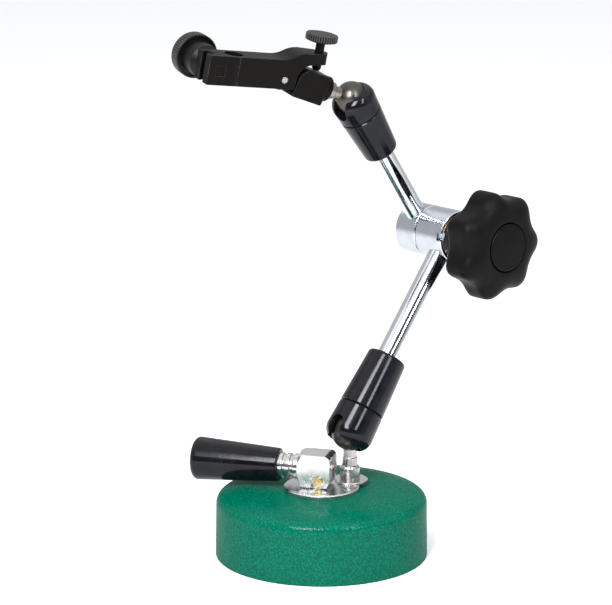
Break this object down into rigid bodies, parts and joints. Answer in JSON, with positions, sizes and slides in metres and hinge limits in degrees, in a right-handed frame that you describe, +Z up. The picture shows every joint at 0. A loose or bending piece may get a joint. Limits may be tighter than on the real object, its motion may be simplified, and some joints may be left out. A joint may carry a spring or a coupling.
{
  "type": "magnetic base indicator stand",
  "caption": "Round switchable magnetic base carrying a two-link arm with ball joints and a central star knob, ending in a split clamp with fine adjustment for a dial indicator.",
  "frame": {"origin": "centre of the base's underside, on the surface it stands on", "axes": "+Z up, +X the way the lower arm leans, and the star knob faces -Y"},
  "size_m": [0.1404, 0.097, 0.2215],
  "materials": {
    "green_enamel": "emerald green hammered enamel, glossy",
    "black_enamel": "gloss black enamel",
    "base_steel": "ground bare steel",
    "brass": "plain brass",
    "ferrite": "dark grey sintered magnet",
    "disc_steel": "fine turned bright steel",
    "bright_steel": "polished bright steel",
    "satin_chrome": "satin chrome plating",
    "black_steel": "blackened steel, slight sheen",
    "grip_plastic": "glossy black plastic",
    "knob_plastic": "semi-matt black plastic",
    "bronze": "sintered bronze"
  },
  "bodies": {
    "base": {"base_housing": "green_enamel", "inner_pole_plate": "base_steel", "brass_spacer_ring": "brass", "guide_bush": "bronze", "cover_disc": "disc_steel", "stud_washer": "disc_steel", "lower_ball_stud": "bright_steel"},
    "magnet_lift": {"lift_rod": "base_steel", "ring_magnet": "ferrite", "magnet_yoke": "base_steel", "magnet_nut": "base_steel", "lever_pin": "brass"},
    "lever": {"lever_block": "satin_chrome", "lever_shank": "bright_steel", "lever_grip": "grip_plastic"},
    "lower_ball_body": {"lower_ball": "bright_steel"},
    "lower_pad_body": {"lower_ball_pad": "bronze"},
    "lower_arm": {"lower_socket_cap": "black_enamel", "lower_sleeve": "black_enamel", "lower_tube": "bright_steel", "lower_push_rod": "base_steel", "lower_hub": "satin_chrome", "clamp_wedge": "black_steel", "thrust_washer": "bronze"},
    "upper_arm": {"upper_hub": "satin_chrome", "clamp_bolt": "black_steel", "upper_tube": "bright_steel", "upper_push_rod": "base_steel", "upper_sleeve": "black_enamel", "upper_socket_cap": "black_enamel"},
    "central_knob": {"star_knob": "knob_plastic", "knob_insert": "brass", "knob_cap": "grip_plastic"},
    "upper_pad_body": {"upper_ball_pad": "bronze"},
    "upper_ball_body": {"upper_ball": "bright_steel"},
    "holder": {"rear_block": "black_steel", "upper_ball_stud": "bright_steel"},
    "clamp": {"clamp_body": "black_steel", "pivot_pin": "bright_steel", "adjust_spring": "base_steel", "jaw_screw": "bright_steel"},
    "adjust_screw": {"adjust_spindle": "black_steel"},
    "thumb_head": {"adjust_thumb_head": "black_steel"},
    "jaw_knob_body": {"jaw_knob": "black_steel"}
  },
  "joints": [
    {"name": "magnet_slide", "type": "slide", "parent": "base", "child": "magnet_lift", "axis": [0, 0, 1], "range_m": [0, 0.0013]},
    {"name": "lever_swing", "type": "hinge", "parent": "magnet_lift", "child": "lever", "pos_m": [0, 0, 0.033], "axis": [0.8526, 0.5225, 0], "range_deg": [0, 50]},
    {"name": "lower_ball_swivel", "type": "hinge", "parent": "base", "child": "lower_ball_body", "pos_m": [0.0132, -0.0035, 0.0518], "axis": [0, 0, 1], "range_deg": [-95, 35]},
    {"name": "lower_ball_tilt", "type": "hinge", "parent": "lower_ball_body", "child": "lower_pad_body", "pos_m": [0.0132, -0.0035, 0.0518], "axis": [0, 1, 0], "range_deg": [-42, 0.5]},
    {"name": "lower_arm_spin", "type": "hinge", "parent": "lower_pad_body", "child": "lower_arm", "pos_m": [0.0132, -0.0035, 0.0518], "axis": [0.6074, 0, 0.7944], "continuous": true},
    {"name": "knuckle_fold", "type": "hinge", "parent": "lower_arm", "child": "upper_arm", "pos_m": [0.07181, 0.0067, 0.12846], "axis": [0, 1, 0], "range_deg": [-70, 120]},
    {"name": "central_knob_turn", "type": "hinge", "parent": "upper_arm", "child": "central_knob", "pos_m": [0.07181, -0.0283, 0.12846], "axis": [0, -1, 0], "range_deg": [0, 270]},
    {"name": "upper_ball_spin", "type": "hinge", "parent": "upper_arm", "child": "upper_pad_body", "pos_m": [0.02765, 0.0116, 0.19154], "axis": [-0.5736, 0, 0.8192], "continuous": true},
    {"name": "upper_ball_tilt", "type": "hinge", "parent": "upper_pad_body", "child": "upper_ball_body", "pos_m": [0.02765, 0.0116, 0.19154], "axis": [0, 1, 0], "range_deg": [-1, 66]},
    {"name": "holder_roll", "type": "hinge", "parent": "upper_ball_body", "child": "holder", "pos_m": [0.02765, 0.0116, 0.19154], "axis": [-0.9085, 0.2096, 0.3614], "continuous": true},
    {"name": "fine_pivot", "type": "hinge", "parent": "holder", "child": "clamp", "pos_m": [-0.0063, 0.01964, 0.20336], "axis": [-0.2691, -0.9553, -0.1225], "range_deg": [-3.6, 3.6]},
    {"name": "adjust_screw_slide", "type": "slide", "parent": "clamp", "child": "adjust_screw", "axis": [0.0937, -0.1526, 0.9838], "range_m": [-0.00104, 0.00104]},
    {"name": "adjust_screw_turn", "type": "hinge", "parent": "adjust_screw", "child": "thumb_head", "pos_m": [0.01149, 0.01277, 0.21788], "axis": [0.0937, -0.1526, 0.9838], "range_deg": [-540, 540]},
    {"name": "jaw_knob_turn", "type": "hinge", "parent": "clamp", "child": "jaw_knob_body", "pos_m": [-0.02966, 0.04606, 0.21191], "axis": [0.2691, 0.9553, 0.1225], "range_deg": [0, 270]}
  ],
  "couplings": [
    {"joint": "lever_swing", "follows": "magnet_slide", "rad_per_m": 668.42},
    {"joint": "fine_pivot", "follows": "adjust_screw_slide", "rad_per_m": -59.172},
    {"joint": "adjust_screw_turn", "follows": "adjust_screw_slide", "rad_per_m": 8976}
  ]
}
